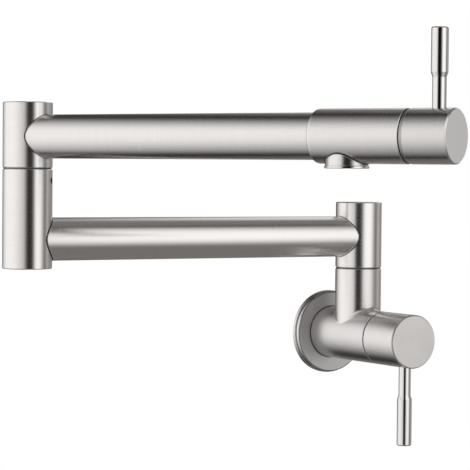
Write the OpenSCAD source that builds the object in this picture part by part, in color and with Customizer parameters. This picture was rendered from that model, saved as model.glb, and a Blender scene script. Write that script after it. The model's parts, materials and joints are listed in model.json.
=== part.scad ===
// Wall mounted pot filler with two swinging arms and two quarter-turn valves.
// The origin is on the valve axis at the wall plane. +Y runs into the wall,
// +X to the right along it, and +Z up.

/* [Wall fixing] */
// Outside diameter of the pipe thread that goes into the wall
thread_d = 20.9; // [17:0.1:26]
// Length of the pipe thread beyond the wall plane
thread_len = 15; // [11:0.5:20]
// Wall thickness of the wall nipple
nipple_wall = 4.9; // [3.5:0.1:6]
// How far the nipple's front thread stays inside its wall thread
nipple_step = 1.2; // [0.8:0.1:2]
// How far the key socket's flats stand outside the water bore
key_lip = 0.5; // [0.3:0.1:0.8]
// Diameter of the wall flange
flange_d = 58.6; // [48:0.2:80]
// Thickness of the wall flange
flange_t = 3.4; // [2.6:0.1:5]
// Thickness of the flange's metal over its hollow back
flange_skin = 1.2; // [0.8:0.1:1.6]
// Width of the flange rim that stands on the wall
flange_rim = 2.4; // [1.5:0.1:4]

/* [Wall valve] */
// Distance from the wall to the wall cartridge's seat
valve_back = 24.2; // [19:0.1:30]
// How far the valve body's radius stands outside the posts' radius
valve_step = 2.2; // [1:0.1:6]
// Distance from the wall cartridge's seat to the swivel axis
swivel_from_seat = 14; // [11:0.1:18]
// Height of the riser's top face above the valve axis
riser_h = 46.8; // [40:0.2:60]
// Radius of the welded and polished blend between riser and valve body
blend_r = 4; // [2:0.5:5]

/* [Arms] */
// How far the tubes' radius stays inside the spout head's radius
head_step = 2.2; // [1:0.1:4]
// Wall thickness of the arm tubes
tube_wall = 1.5; // [1:0.1:2.5]
// How far the posts' radius stands outside the tubes' radius
post_step = 2; // [1:0.1:5]
// Distance between the hub axis and the elbow axis
lower_len = 248; // [150:0.5:320]
// Heading of the lower arm from the hub, anticlockwise from +X
lower_heading = 175.5; // [170:0.5:180]
// Distance from the elbow axis to the rear face of the spout head
upper_len = 210; // [150:0.1:300]
// Heading of the upper arm from the elbow, anticlockwise from +X
upper_heading = -62.3; // [-90:0.1:-20]
// Length of the hub post below the lower tube
hub_foot = 7.5; // [6:0.1:12]
// Length of the hub post above the lower tube
hub_cap_h = 9.9; // [7:0.1:16]
// Length of the elbow's lower post below the lower tube
elbow_foot = 4.8; // [3:0.1:12]
// Length of the elbow's lower post above the lower tube
elbow_neck = 31.2; // [29:0.1:50]
// Length of the elbow's upper post below the upper tube
elbow_collar = 6; // [5:0.1:12]
// Length of the elbow's upper post above the upper tube
elbow_cap_h = 8; // [6:0.1:14]
// Axial gap that the glide ring fills in each swivel
swivel_gap = 0.8; // [0.6:0.1:1.6]

/* [Swivel joints] */
// Wall thickness of the posts round their water chambers
post_wall = 5; // [4:0.1:6]
// How far a stem's radius stays inside its thread's radius
stem_step = 2; // [1.5:0.1:3]
// Wall thickness of the swivel stems
stem_wall = 4; // [3.4:0.1:5]
// Length of a stem below its glide ring
stem_len = 26; // [21:0.5:30]
// Length of the thread that fixes a stem in its post
stem_thread_len = 9; // [7:0.5:11]
// Diameter of the retaining set screws
set_screw_d = 4; // [3:0.5:5]
// Depth of a retaining set screw below the swivel face
set_screw_drop = 7.4; // [6:0.2:9]
// Compass direction of the elbow's set screw
elbow_screw_heading = -43; // [-60:1:-30]
// Compass direction of the hub's set screw
hub_screw_heading = 55; // [40:1:80]
// Thickness of the sealing rings' rubber
ring_d = 2; // [1.4:0.1:2.4]

/* [Spout head] */
// How far the head's radius stands outside the bonnet ring
head_rim = 0.7; // [0.5:0.05:5]
// Distance from the head's rear face to the head cartridge's seat
head_back = 14.6; // [11:0.1:20]
// Distance from the head cartridge's seat to the outlet's axis
outlet_from_seat = 5.2; // [4.5:0.1:7]
// Radius of the rounded shoulder at the head's rear
shoulder_r = 3; // [1:0.5:4]
// Thickness of the floor between the head's chamber and the aerator
outlet_floor = 3.2; // [2:0.1:5]
// Wall thickness of the outlet boss round the aerator's thread
outlet_wall = 1.9; // [1.2:0.1:3]
// How far the aerator's collar stands outside the outlet boss
aerator_step = 0.5; // [0.3:0.1:1]
// Height of the aerator's visible collar
aerator_h = 1.6; // [1:0.1:3]
// Diameter of the aerator's hidden thread
aerator_thread_d = 21.6; // [18:0.1:23]
// Length of the aerator's hidden thread
aerator_thread_h = 3.2; // [2.4:0.1:6]
// Wall thickness of the aerator's housing
aerator_wall = 1.4; // [1:0.1:2]

/* [Handles] */
// Length of the wall valve's handle cap
wall_cap_len = 33; // [28:0.2:45]
// Distance from the wall handle's front face to its lever's axis
wall_lever_inset = 9.7; // [7:0.1:12]
// Length of the wall lever outside its cap
wall_lever_len = 52.9; // [44:0.1:90]
// Length of the wall lever's thick grip
wall_grip_len = 31.4; // [15:0.1:38]
// Length of the spout head's handle cap
spout_cap_len = 27.4; // [24:0.2:45]
// Distance from the spout handle's front face to its lever's axis
spout_lever_inset = 11.2; // [7:0.1:13]
// Length of the spout lever outside its cap
spout_lever_len = 45.9; // [38:0.1:90]
// Length of the spout lever's thick grip
spout_grip_len = 25.8; // [12:0.1:30]
// Diameter of the levers' necks
neck_d = 8.2; // [6.8:0.1:10]
// How far the grips' radius stands outside the necks' radius
grip_step = 0.9; // [0.4:0.05:2]
// Length of the cone between neck and grip
neck_cone = 2.8; // [1:0.1:5]
// Gap between the wall valve's body and its handle cap
wall_gap = 1.2; // [1:0.1:2.4]
// Gap between the spout head and its handle cap
spout_gap = 2.6; // [1:0.1:3]

/* [Cartridges] */
// Depth of a cartridge's seat behind the valve's front face
seat_depth = 45; // [37:0.5:56]
// Diameter of the cartridge's ceramic discs
disc_d = 14.2; // [12:0.1:18]
// Thickness of each ceramic disc
disc_t = 3; // [2.4:0.1:3.6]
// Wall thickness of the cartridge's barrel round the discs
barrel_wall = 1.2; // [1:0.1:1.6]
// Width of the water gap between the cartridge's barrel and its chamber
barrel_gap = 1.1; // [0.8:0.1:3]
// How far the cartridge's collar stands outside its thread
collar_step = 2.7; // [1.8:0.1:4]
// Wall thickness of the bonnet nut round the collar
bonnet_wall = 1.6; // [1.2:0.1:3]
// How far the bonnet ring that shows stands outside the nut's thread
bonnet_step = 1.75; // [0.6:0.05:3]
// Length of the bonnet nut's thread
bonnet_h = 6; // [4:0.1:8]
// Diameter of the spindle
spindle_d = 8; // [6.5:0.1:9.6]
// Wall thickness of the cartridge's neck round the spindle
neck_wall = 4; // [3:0.1:4.6]
// Length of the spindle beyond the valve's front face
spindle_out = 16; // [14:0.2:19]
// Diameter of the handle grub screws
grub_d = 5; // [4:0.5:6]

/* [Hidden] */
$fn = 96;

// Shared clearances and the overrun that every cut has past a face
fit_gap = 0.05;
slip_gap = 0.25;
overrun = 1;

// Edge breaks on turned parts
edge_break = 0.6;
fine_break = 0.3;
post_break = 0.5;
face_break = 0.8;

// Radii of the cartridge, the head and the tubes, from the discs outwards
disc_r = disc_d / 2;
barrel_r = disc_r + fit_gap + barrel_wall;
cartridge_thread_r = barrel_r + barrel_gap;
collar_r = cartridge_thread_r + collar_step;
bonnet_thread_r = collar_r + bonnet_wall;
bonnet_ring_r = bonnet_thread_r + bonnet_step;
head_r = bonnet_ring_r + head_rim;
tube_r = head_r - head_step;
tube_bore_r = tube_r - tube_wall;
chamber_r = cartridge_thread_r + fit_gap;

// Radii of the posts, the stems and the valve body
post_r = tube_r + post_step;
valve_r = post_r + valve_step;
stem_thread_r = post_r - post_wall;
stem_r = stem_thread_r - stem_step;
stem_bore_r = stem_r - stem_wall;
screw_r = set_screw_d / 2;
ring_r = ring_d / 2;

// Radii of the wall fixing, the aerator, the spindle and the levers
thread_r = thread_d / 2;
front_thread_r = thread_r - nipple_step;
inlet_r = thread_r - nipple_wall;
flange_r = flange_d / 2;
aerator_thread_r = aerator_thread_d / 2;
aerator_bore_r = aerator_thread_r - aerator_wall;
outlet_r = aerator_thread_r + outlet_wall;
aerator_r = outlet_r + aerator_step;
spindle_r = spindle_d / 2;
neck_out_r = spindle_r + neck_wall;
neck_r = neck_d / 2;
grip_r = neck_r + grip_step;
grub_r = grub_d / 2;

// Stations of the wall valve, counted from the wall
valve_len = valve_back + seat_depth;
swivel_out = valve_back + swivel_from_seat;
nipple_share = 0.6;
nipple_front = flange_t + nipple_share * (valve_back - flange_t);
washer_t = 2;
washer_lip = 0.6;
key_depth = 7;

// Flange: how far its boss stands off the wall, and its bevelled edge as shares of its thickness
boss_clear = 0.5;
bevel_low_share = 0.5;
bevel_mid_shares = [0.12, 0.82];
bevel_top_share = 0.4;

// Stations of the spout head, counted from the elbow's axis
head_seat_at = upper_len + head_back;
head_len = head_back + seat_depth;
outlet_at = head_back + outlet_from_seat;
socket_wall = 0.6;
tube_socket = outlet_at - aerator_thread_r - socket_wall;

// Heights of the swivels and the arms above the valve axis
hub_h = hub_foot + 2 * tube_r + hub_cap_h;
hub_z = riser_h + swivel_gap;
lower_z = hub_z + hub_foot + tube_r;
elbow_bottom = lower_z - tube_r - elbow_foot;
elbow_face = lower_z + tube_r + elbow_neck;
elbow_z = elbow_face + swivel_gap;
elbow_up_h = elbow_collar + 2 * tube_r + elbow_cap_h;
upper_z = elbow_z + elbow_collar + tube_r;

// Places of the hub and elbow axes on plan
hub_at = [0, -swivel_out];
elbow_at = hub_at + lower_len * [cos(lower_heading), sin(lower_heading)];

// Blend: how deep its solid reaches into the metal, and its steps along and across the seam
blend_sink = 1;
blend_steps = 60;
blend_arc_steps = 7;

// Walls left above the water chambers in the posts, and the side ports
post_top_wall = 6;
port_lip = 3.5;
port_r = tube_bore_r - port_lip;

// Stem: retaining groove and two ring grooves, as depths below the swivel face
groove_play = 0.4;
groove_w = set_screw_d + groove_play;
groove_depth = 1.5;
groove_floor_r = stem_r - groove_depth;
ring_play = 0.6;
ring_groove_w = ring_d + ring_play;
ring_shares = [0.24, 0.6];
ring_from = set_screw_drop + groove_w / 2;
ring_depths = [for (share = ring_shares) ring_from + share * (stem_len - ring_from)];

// Cartridge: stations above the seat, shared by both valves
seat_washer_t = 1.6;
seat_washer_wall = 2.2;
seat_port_r = disc_r - seat_washer_wall;
fixed_disc_at = seat_washer_t;
turning_disc_at = fixed_disc_at + disc_t + fit_gap;
driver_at = turning_disc_at + disc_t;
driver_t = 2.4;
guide_at = driver_at + driver_t + slip_gap;
window_h = 9;
window_w = 7;
collar_t = 3;
bonnet_at = seat_depth - bonnet_h;
collar_at = bonnet_at - collar_t;
cartridge_grip = 16;
thread_at = collar_at - cartridge_grip;
neck_over = 2;
neck_top = seat_depth + neck_over;
clip_t = 0.8;
clip_at = neck_top + slip_gap;
clip_lap = 2;
clip_r = spindle_r + clip_lap;
clip_seat = 0.4;
spindle_top = seat_depth + spindle_out;

// Handle: counterbore over the cartridge neck, and blind hole for the spindle
wall_handle_at = seat_depth + wall_gap;
head_handle_at = seat_depth + spout_gap;
neck_clear = 1;
handle_bore_r = neck_out_r + neck_clear;
handle_bore_top = clip_at + clip_t + 2 * neck_clear;
spindle_clear = 0.8;
handle_hole_top = spindle_top + spindle_clear;
grub_drop = 5;
tip_share = 0.7;
socket_share = 0.6;
grub_at = spindle_top - grub_drop;
tail_step = 1.2;
lever_tail_r = neck_r - tail_step;
lever_seat = 1;
lever_tail_gap = 2.4;
lever_tail_in = spindle_r + lever_tail_gap;
lever_end_break = 0.8;
wall_lever_at = wall_handle_at + wall_cap_len - wall_lever_inset;
head_lever_at = head_handle_at + spout_cap_len - spout_lever_inset;

// Aerator: stations below the upper arm's axis, and the insert's grid of holes
aerator_ledge = 0.8;
aerator_washer_t = 1.4;
outlet_ledge = chamber_r + outlet_floor;
outlet_thread_at = outlet_ledge + aerator_washer_t;
outlet_drop = outlet_thread_at + aerator_thread_h + aerator_h;
insert_t = 3;
insert_rows = 2;
insert_pitch_share = 0.33;
insert_hole_share = 0.36;
insert_pitch = insert_pitch_share * aerator_bore_r;
insert_hole_r = insert_hole_share * insert_pitch;
outlet_port_r = outlet_from_seat - slip_gap;

// Compass directions of levers and grub screws round their valves' axes
wall_lever_side = -90;
wall_screw_side = 0;
head_lever_side = 180;
head_screw_side = 90;

steel = [0.74, 0.73, 0.72];
polished = [0.86, 0.86, 0.87];
brass = [0.80, 0.66, 0.38];
rubber = [0.10, 0.10, 0.11];
ceramic = [0.93, 0.92, 0.89];
nylon = [0.90, 0.90, 0.88];
acetal = [0.12, 0.12, 0.12];

// Turns a profile drawn as [radius, station] round its axis
module turned(points) {
    rotate_extrude() polygon(points);
}

// Lays an axis that points up along the valve axis, away from the wall
module from_wall() {
    rotate([90, 0, 0]) children();
}

// Lays an axis that points up along the upper arm, away from the elbow
module along_upper() {
    translate([elbow_at[0], elbow_at[1], upper_z])
        rotate([0, 0, upper_heading])
            rotate([0, 90, 0])
                children();
}

// Lays an axis that points up along the lower arm, from the hub to the elbow
module along_lower() {
    translate([hub_at[0], hub_at[1], lower_z])
        rotate([0, 0, lower_heading])
            rotate([0, 90, 0])
                children();
}

module at_hub(z) {
    translate([hub_at[0], hub_at[1], z]) children();
}

module at_elbow(z) {
    translate([elbow_at[0], elbow_at[1], z]) children();
}

// A rubber ring with a round section
module round_ring(centre_r, section_r) {
    rotate_extrude() translate([centre_r, 0]) circle(r = section_r, $fn = 24);
}

// A plain washer standing on its lower face
module washer(outer_r, bore_r, thick) {
    turned([[bore_r, 0], [outer_r, 0], [outer_r, thick], [bore_r, thick]]);
}

// A solid bar with a broken edge at both ends
module broken_bar(r, length, low_break, high_break) {
    turned([
        [0, 0], [r - low_break, 0], [r, low_break],
        [r, length - high_break], [r - high_break, length], [0, length]
    ]);
}

// Wall fixing
module wall_nipple() {
    color(brass) from_wall() difference() {
        union() {
            translate([0, 0, -thread_len]) broken_bar(thread_r, thread_len, edge_break, fine_break);
            broken_bar(front_thread_r, nipple_front, 0, edge_break);
        }
        translate([0, 0, -thread_len - overrun])
            cylinder(r = inlet_r, h = thread_len + nipple_front + 2 * overrun);
        translate([0, 0, nipple_front - key_depth])
            cylinder(r = (inlet_r + key_lip) / cos(30), h = key_depth + overrun, $fn = 6);
    }
}

module wall_flange() {
    hollow_r = flange_r - flange_rim;
    inner_r = front_thread_r + slip_gap;
    boss_r = valve_r - flange_rim;
    color(steel) from_wall() turned([
        [inner_r, boss_clear], [boss_r, boss_clear], [boss_r, flange_t - flange_skin],
        [hollow_r, flange_t - flange_skin], [hollow_r, 0], [flange_r - fine_break, 0],
        [flange_r, fine_break], [flange_r, bevel_low_share * flange_t],
        [flange_r - bevel_mid_shares[0] * flange_t, bevel_mid_shares[1] * flange_t],
        [flange_r - bevel_top_share * flange_t, flange_t],
        [inner_r, flange_t]
    ]);
}

module flange_gasket() {
    color(rubber) from_wall()
        washer(flange_r - flange_rim - slip_gap, valve_r - flange_rim + slip_gap, flange_t - flange_skin);
}

module inlet_washer() {
    color(rubber) from_wall() translate([0, 0, nipple_front])
        washer(front_thread_r - fit_gap, inlet_r + washer_lip, washer_t);
}

// Space for a cartridge, bored from a valve body's front face at the station seat_depth
module cartridge_bore() {
    cylinder(r = chamber_r, h = seat_depth + overrun);
    translate([0, 0, collar_at])
        cylinder(r = collar_r + fit_gap, h = seat_depth - collar_at + overrun);
    translate([0, 0, bonnet_at])
        cylinder(r = bonnet_thread_r + fit_gap, h = seat_depth - bonnet_at + overrun);
}

// Space for a swivel stem, bored down from a swivel face
module stem_bore(depth) {
    translate([0, 0, -depth]) cylinder(r = stem_r + fit_gap, h = depth + overrun);
}

// Radial hole for a retaining set screw, below a swivel face
module set_screw_hole(heading) {
    translate([0, 0, -set_screw_drop]) rotate([0, 0, heading]) rotate([0, 90, 0])
        cylinder(r = screw_r + fit_gap, h = post_r + overrun);
}

// Centre of a ball that rolls along the seam of riser and valve body, from the riser's axis
function ball_at(turn) = [
    (post_r + blend_r) * cos(turn),
    (post_r + blend_r) * sin(turn),
    sqrt(pow(valve_r + blend_r, 2) - pow((post_r + blend_r) * cos(turn), 2))
];

// Where the ball touches the riser and the valve body, sunk into the metal by a depth
function on_riser(ball, turn, sink) = [(post_r - sink) * cos(turn), (post_r - sink) * sin(turn), ball[2]];
function on_barrel(ball, sink) = let(share = (valve_r - sink) / (valve_r + blend_r))
    [ball[0] * share, ball[1], ball[2] * share];

// Point on the ball between two directions, at a share of the way
function on_ball(ball, from, to, share) = let(
    angle = acos(from * to),
    way = (sin((1 - share) * angle) * from + sin(share * angle) * to) / sin(angle)
) ball + blend_r * way;

// One section through the blend, from inside the riser round to inside the barrel
function blend_section(turn) = let(
    ball = ball_at(turn),
    high = on_riser(ball, turn, 0),
    low = on_barrel(ball, 0),
    sunk = on_barrel(ball, blend_sink)
) concat(
    [on_riser(ball, turn, blend_sink)],
    [for (i = [1 : blend_arc_steps - 1])
        on_ball(ball, (high - ball) / blend_r, (low - ball) / blend_r, i / blend_arc_steps)],
    [sunk, [(post_r - blend_sink) * cos(turn), (post_r - blend_sink) * sin(turn), sunk[2] - blend_sink]]
);

// The blend as a ring of sections along the seam
module seam_blend() {
    across = blend_arc_steps + 2;
    count = blend_steps * across;
    polyhedron(
        points = [for (i = [0 : blend_steps - 1], p = blend_section(360 * i / blend_steps)) p],
        faces = [
            for (i = [0 : blend_steps - 1], j = [0 : across - 1], half = [0, 1])
                let(
                    a = i * across + j,
                    b = i * across + (j + 1) % across,
                    c = (b + across) % count,
                    d = (a + across) % count
                )
                half == 0 ? [a, c, b] : [a, d, c]
        ]
    );
}

module valve_body() {
    color(steel) difference() {
        union() {
            from_wall() translate([0, 0, flange_t])
                broken_bar(valve_r, valve_len - flange_t, fine_break, fine_break);
            at_hub(0) cylinder(r = post_r, h = riser_h - post_break);
            at_hub(riser_h - post_break)
                cylinder(r1 = post_r, r2 = post_r - post_break, h = post_break);
            at_hub(0) seam_blend();
        }
        from_wall() cylinder(r = front_thread_r + fit_gap, h = nipple_front + washer_t);
        from_wall() cylinder(r = seat_port_r, h = valve_len);
        from_wall() translate([0, 0, valve_back]) cartridge_bore();
        at_hub(riser_h) stem_bore(riser_h);
        at_hub(riser_h) set_screw_hole(hub_screw_heading);
    }
}

// Retaining set screw: its plain tip runs in the stem's groove
module set_screw(heading) {
    tip_r = tip_share * screw_r;
    inner = groove_floor_r + slip_gap;
    shank_in = stem_r + slip_gap;
    outer = post_r - fine_break;
    socket_r = socket_share * screw_r;
    translate([0, 0, -set_screw_drop]) rotate([0, 0, heading]) rotate([0, 90, 0]) difference() {
        union() {
            translate([0, 0, inner]) cylinder(r = tip_r, h = shank_in - inner + screw_r);
            translate([0, 0, shank_in]) cylinder(r = screw_r, h = outer - shank_in);
        }
        translate([0, 0, outer - screw_r]) cylinder(r = socket_r, h = screw_r + overrun, $fn = 6);
    }
}

module hub_set_screw() {
    color(polished) at_hub(riser_h) set_screw(hub_screw_heading);
}

// Swivel stem, drawn with its collar face at station zero: the thread goes up into the post
module swivel_stem() {
    groove_low = set_screw_drop + 0.5 * groove_w;
    groove_high = set_screw_drop - 0.5 * groove_w;
    ring_floor_r = stem_r - ring_d;
    difference() {
        turned([
            [stem_bore_r, -stem_len], [stem_r - edge_break, -stem_len], [stem_r, edge_break - stem_len],
            [stem_r, -groove_low], [groove_floor_r, -groove_low],
            [groove_floor_r, -groove_high], [stem_r, -groove_high],
            [stem_r, swivel_gap], [stem_thread_r, swivel_gap],
            [stem_thread_r, swivel_gap + stem_thread_len - edge_break],
            [stem_thread_r - edge_break, swivel_gap + stem_thread_len],
            [stem_bore_r, swivel_gap + stem_thread_len]
        ]);
        for (depth = ring_depths)
            translate([0, 0, -depth - 0.5 * ring_groove_w]) difference() {
                cylinder(r = stem_r + overrun, h = ring_groove_w);
                translate([0, 0, -overrun]) cylinder(r = ring_floor_r, h = ring_groove_w + 2 * overrun);
            }
    }
}

module stem_rings() {
    for (depth = ring_depths)
        translate([0, 0, -depth]) round_ring(stem_r - ring_r, ring_r);
}

// Low-friction washer between the two faces of a swivel
module glide_ring() {
    washer(post_r - edge_break, stem_r + slip_gap, swivel_gap);
}

// Lower arm
module hub_post() {
    chamber_h = hub_h - post_top_wall;
    color(steel) difference() {
        at_hub(hub_z) broken_bar(post_r, hub_h, post_break, post_break);
        at_hub(hub_z - overrun) cylinder(r = stem_thread_r, h = chamber_h + overrun);
        along_lower() cylinder(r = port_r, h = post_r + overrun);
    }
}

module hub_stem() {
    color(brass) at_hub(riser_h) swivel_stem();
}

module hub_stem_rings() {
    color(rubber) at_hub(riser_h) stem_rings();
}

module hub_glide_ring() {
    color(acetal) at_hub(riser_h) glide_ring();
}

module lower_tube() {
    color(steel) difference() {
        along_lower() washer(tube_r, tube_bore_r, lower_len);
        at_hub(hub_z) cylinder(r = post_r, h = hub_h);
        at_elbow(elbow_bottom) cylinder(r = post_r, h = elbow_face - elbow_bottom);
    }
}

module elbow_lower_post() {
    bore_depth = elbow_face - elbow_bottom - post_top_wall;
    color(steel) difference() {
        at_elbow(elbow_bottom) broken_bar(post_r, elbow_face - elbow_bottom, post_break, post_break);
        at_elbow(elbow_face) stem_bore(bore_depth);
        at_elbow(elbow_face) set_screw_hole(elbow_screw_heading);
        along_lower() translate([0, 0, lower_len - post_r - overrun])
            cylinder(r = port_r, h = post_r + overrun);
    }
}

module elbow_set_screw() {
    color(polished) at_elbow(elbow_face) set_screw(elbow_screw_heading);
}

// Upper arm
module elbow_upper_post() {
    chamber_h = elbow_up_h - post_top_wall;
    color(steel) difference() {
        at_elbow(elbow_z) broken_bar(post_r, elbow_up_h, post_break, post_break);
        at_elbow(elbow_z - overrun) cylinder(r = stem_thread_r, h = chamber_h + overrun);
        along_upper() cylinder(r = port_r, h = post_r + overrun);
    }
}

module elbow_stem() {
    color(brass) at_elbow(elbow_face) swivel_stem();
}

module elbow_stem_rings() {
    color(rubber) at_elbow(elbow_face) stem_rings();
}

module elbow_glide_ring() {
    color(acetal) at_elbow(elbow_face) glide_ring();
}

module upper_tube() {
    color(steel) difference() {
        along_upper() washer(tube_r, tube_bore_r, upper_len + tube_socket);
        at_elbow(elbow_z) cylinder(r = post_r, h = elbow_up_h);
    }
}

// Spout head with its rounded rear shoulder, tube socket and outlet boss
module head_shell() {
    shoulder_in = head_r - shoulder_r;
    union() {
        along_upper() translate([0, 0, upper_len]) {
            translate([0, 0, shoulder_r]) rotate_extrude()
                intersection() {
                    translate([shoulder_in, 0]) circle(r = shoulder_r, $fn = 64);
                    translate([0, -shoulder_r]) square([head_r, shoulder_r]);
                }
            cylinder(r = shoulder_in, h = shoulder_r);
            translate([0, 0, shoulder_r])
                broken_bar(head_r, head_len - shoulder_r, 0, fine_break);
        }
        along_upper() translate([0, 0, upper_len + outlet_at]) rotate([0, 90, 0])
            cylinder(r = outlet_r, h = outlet_drop - aerator_h);
    }
}

module head_body() {
    color(steel) difference() {
        head_shell();
        along_upper() translate([0, 0, upper_len - overrun])
            cylinder(r = tube_r + fit_gap, h = tube_socket + overrun);
        along_upper() translate([0, 0, upper_len]) cylinder(r = seat_port_r, h = head_len);
        along_upper() translate([0, 0, head_seat_at]) cartridge_bore();
        along_upper() translate([0, 0, upper_len + outlet_at]) rotate([0, 90, 0]) {
            cylinder(r = outlet_port_r, h = outlet_drop);
            translate([0, 0, outlet_ledge]) cylinder(r = aerator_thread_r + fit_gap, h = outlet_drop);
        }
    }
}

// Lays an axis that points up down the outlet, from the upper arm's axis
module down_outlet(drop) {
    along_upper() translate([0, 0, upper_len + outlet_at]) rotate([0, 90, 0])
        translate([0, 0, drop]) children();
}

module aerator_housing() {
    collar_low = aerator_thread_h + aerator_h;
    color(polished) down_outlet(outlet_thread_at) turned([
        [aerator_bore_r, 0], [aerator_thread_r, 0], [aerator_thread_r, aerator_thread_h],
        [aerator_r - fine_break, aerator_thread_h], [aerator_r, aerator_thread_h + fine_break],
        [aerator_r, collar_low - fine_break], [aerator_r - fine_break, collar_low],
        [aerator_bore_r - aerator_ledge, collar_low],
        [aerator_bore_r - aerator_ledge, collar_low - aerator_ledge],
        [aerator_bore_r, collar_low - aerator_ledge]
    ]);
}

// Points of a six-sided grid of rows round a centre hole
function grid_points(rows, pitch) = [
    for (i = [-rows : rows], j = [-rows : rows])
        if (abs(i + j) <= rows) [pitch * (i + 0.5 * j), pitch * j * sin(60)]
];

module aerator_insert() {
    color(nylon) down_outlet(outlet_drop - aerator_ledge - insert_t) difference() {
        cylinder(r = aerator_bore_r - fit_gap, h = insert_t);
        for (place = grid_points(insert_rows, insert_pitch))
            translate([place[0], place[1], -overrun])
                cylinder(r = insert_hole_r, h = insert_t + 2 * overrun, $fn = 24);
    }
}

module aerator_washer() {
    color(rubber) down_outlet(outlet_ledge)
        washer(aerator_thread_r - fit_gap, aerator_bore_r, aerator_washer_t);
}

// Quarter-turn cartridge, drawn with its seat at station zero
module cartridge_body() {
    shell_bore_r = disc_r + fit_gap;
    ring_at = collar_at - 2 * ring_d;
    difference() {
        turned([
            [0, seat_washer_t / 2], [barrel_r, seat_washer_t / 2], [barrel_r, thread_at],
            [cartridge_thread_r, thread_at], [cartridge_thread_r, collar_at],
            [collar_r, collar_at], [collar_r, bonnet_at],
            [neck_out_r, bonnet_at], [neck_out_r, neck_top], [0, neck_top]
        ]);
        cylinder(r = shell_bore_r, h = guide_at);
        cylinder(r = spindle_r + fit_gap, h = neck_top + overrun);
        for (turn = [0, 180])
            rotate([0, 0, turn]) translate([0, -window_w / 2, driver_at])
                cube([barrel_r + overrun, window_w, window_h]);
        translate([0, 0, ring_at]) difference() {
            cylinder(r = cartridge_thread_r + overrun, h = ring_groove_w);
            translate([0, 0, -overrun])
                cylinder(r = cartridge_thread_r - ring_d, h = ring_groove_w + 2 * overrun);
        }
    }
}

module cartridge_ring() {
    translate([0, 0, collar_at - 2 * ring_d + ring_groove_w / 2])
        round_ring(cartridge_thread_r - ring_r, ring_r);
}

module seat_washer() {
    washer(disc_r, seat_port_r, seat_washer_t);
}

// Ceramic disc with two water ports, one on each side of its centre
module ceramic_disc() {
    difference() {
        cylinder(r = disc_r, h = disc_t);
        for (side = [-1, 1])
            translate([side * disc_r / 2, 0, -overrun])
                cylinder(r = disc_r / 4, h = disc_t + 2 * overrun);
    }
}

module bonnet_nut(gap) {
    ring_top = seat_depth + gap - slip_gap;
    turned([
        [neck_out_r + slip_gap, bonnet_at], [bonnet_thread_r, bonnet_at],
        [bonnet_thread_r, seat_depth], [bonnet_ring_r, seat_depth],
        [bonnet_ring_r, ring_top], [neck_out_r + slip_gap, ring_top]
    ]);
}

// Spindle with the driver plate that turns the upper disc
module spindle() {
    clip_floor_r = spindle_r - clip_seat;
    turned([
        [0, driver_at], [disc_r - fit_gap, driver_at], [disc_r - fit_gap, driver_at + driver_t],
        [spindle_r, driver_at + driver_t], [spindle_r, clip_at],
        [clip_floor_r, clip_at], [clip_floor_r, clip_at + clip_t],
        [spindle_r, clip_at + clip_t], [spindle_r, spindle_top - edge_break],
        [spindle_r - edge_break, spindle_top], [0, spindle_top]
    ]);
}

// Open retaining clip that sits in the spindle's groove
module spindle_clip() {
    translate([0, 0, clip_at]) difference() {
        washer(clip_r, spindle_r - clip_seat, clip_t);
        translate([0, -spindle_r / 2, -overrun]) cube([clip_r + overrun, spindle_r, clip_t + 2 * overrun]);
    }
}

// Handle cap, drawn with the valve body's front face at station seat_depth.
// lever_side and screw_side are compass directions round the valve axis.
module handle_cap(r, gap, length, lever_at, lever_side, screw_side) {
    difference() {
        translate([0, 0, seat_depth + gap]) broken_bar(r, length, fine_break, face_break);
        cylinder(r = handle_bore_r, h = handle_bore_top);
        cylinder(r = spindle_r + fit_gap, h = handle_hole_top);
        translate([0, 0, lever_at]) rotate([0, 0, lever_side]) rotate([0, 90, 0]) {
            translate([0, 0, r - lever_seat]) cylinder(r = neck_r + fit_gap, h = r);
            translate([0, 0, lever_tail_in]) cylinder(r = lever_tail_r + fit_gap, h = r);
        }
        translate([0, 0, grub_at]) rotate([0, 0, screw_side]) rotate([0, 90, 0])
            cylinder(r = grub_r + fit_gap, h = r + overrun);
    }
}

// Grub screw that locks a handle cap on its spindle
module handle_screw(r, side) {
    inner = spindle_r;
    outer = r - edge_break;
    socket_r = socket_share * grub_r;
    translate([0, 0, grub_at]) rotate([0, 0, side]) rotate([0, 90, 0]) difference() {
        translate([0, 0, inner]) cylinder(r = grub_r, h = outer - inner);
        translate([0, 0, outer - grub_r])
            cylinder(r = socket_r, h = grub_r + overrun, $fn = 6);
    }
}

// Lever: threaded tail, slim neck, cone and thick grip with a softly broken end
module lever(r, lever_at, side, length, grip_len) {
    seat = r - lever_seat;
    tip = r + length;
    grip_at = tip - grip_len;
    translate([0, 0, lever_at]) rotate([0, 0, side]) rotate([0, 90, 0]) turned([
        [0, lever_tail_in + slip_gap], [lever_tail_r, lever_tail_in + slip_gap], [lever_tail_r, seat],
        [neck_r, seat], [neck_r, grip_at - neck_cone], [grip_r, grip_at],
        [grip_r, tip - lever_end_break], [grip_r - lever_end_break / 2, tip - lever_end_break / 4],
        [grip_r - lever_end_break, tip], [0, tip]
    ]);
}

// Wall valve: cartridge and handle
module on_wall_seat() {
    from_wall() translate([0, 0, valve_back]) children();
}

module on_head_seat() {
    along_upper() translate([0, 0, head_seat_at]) children();
}

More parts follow.
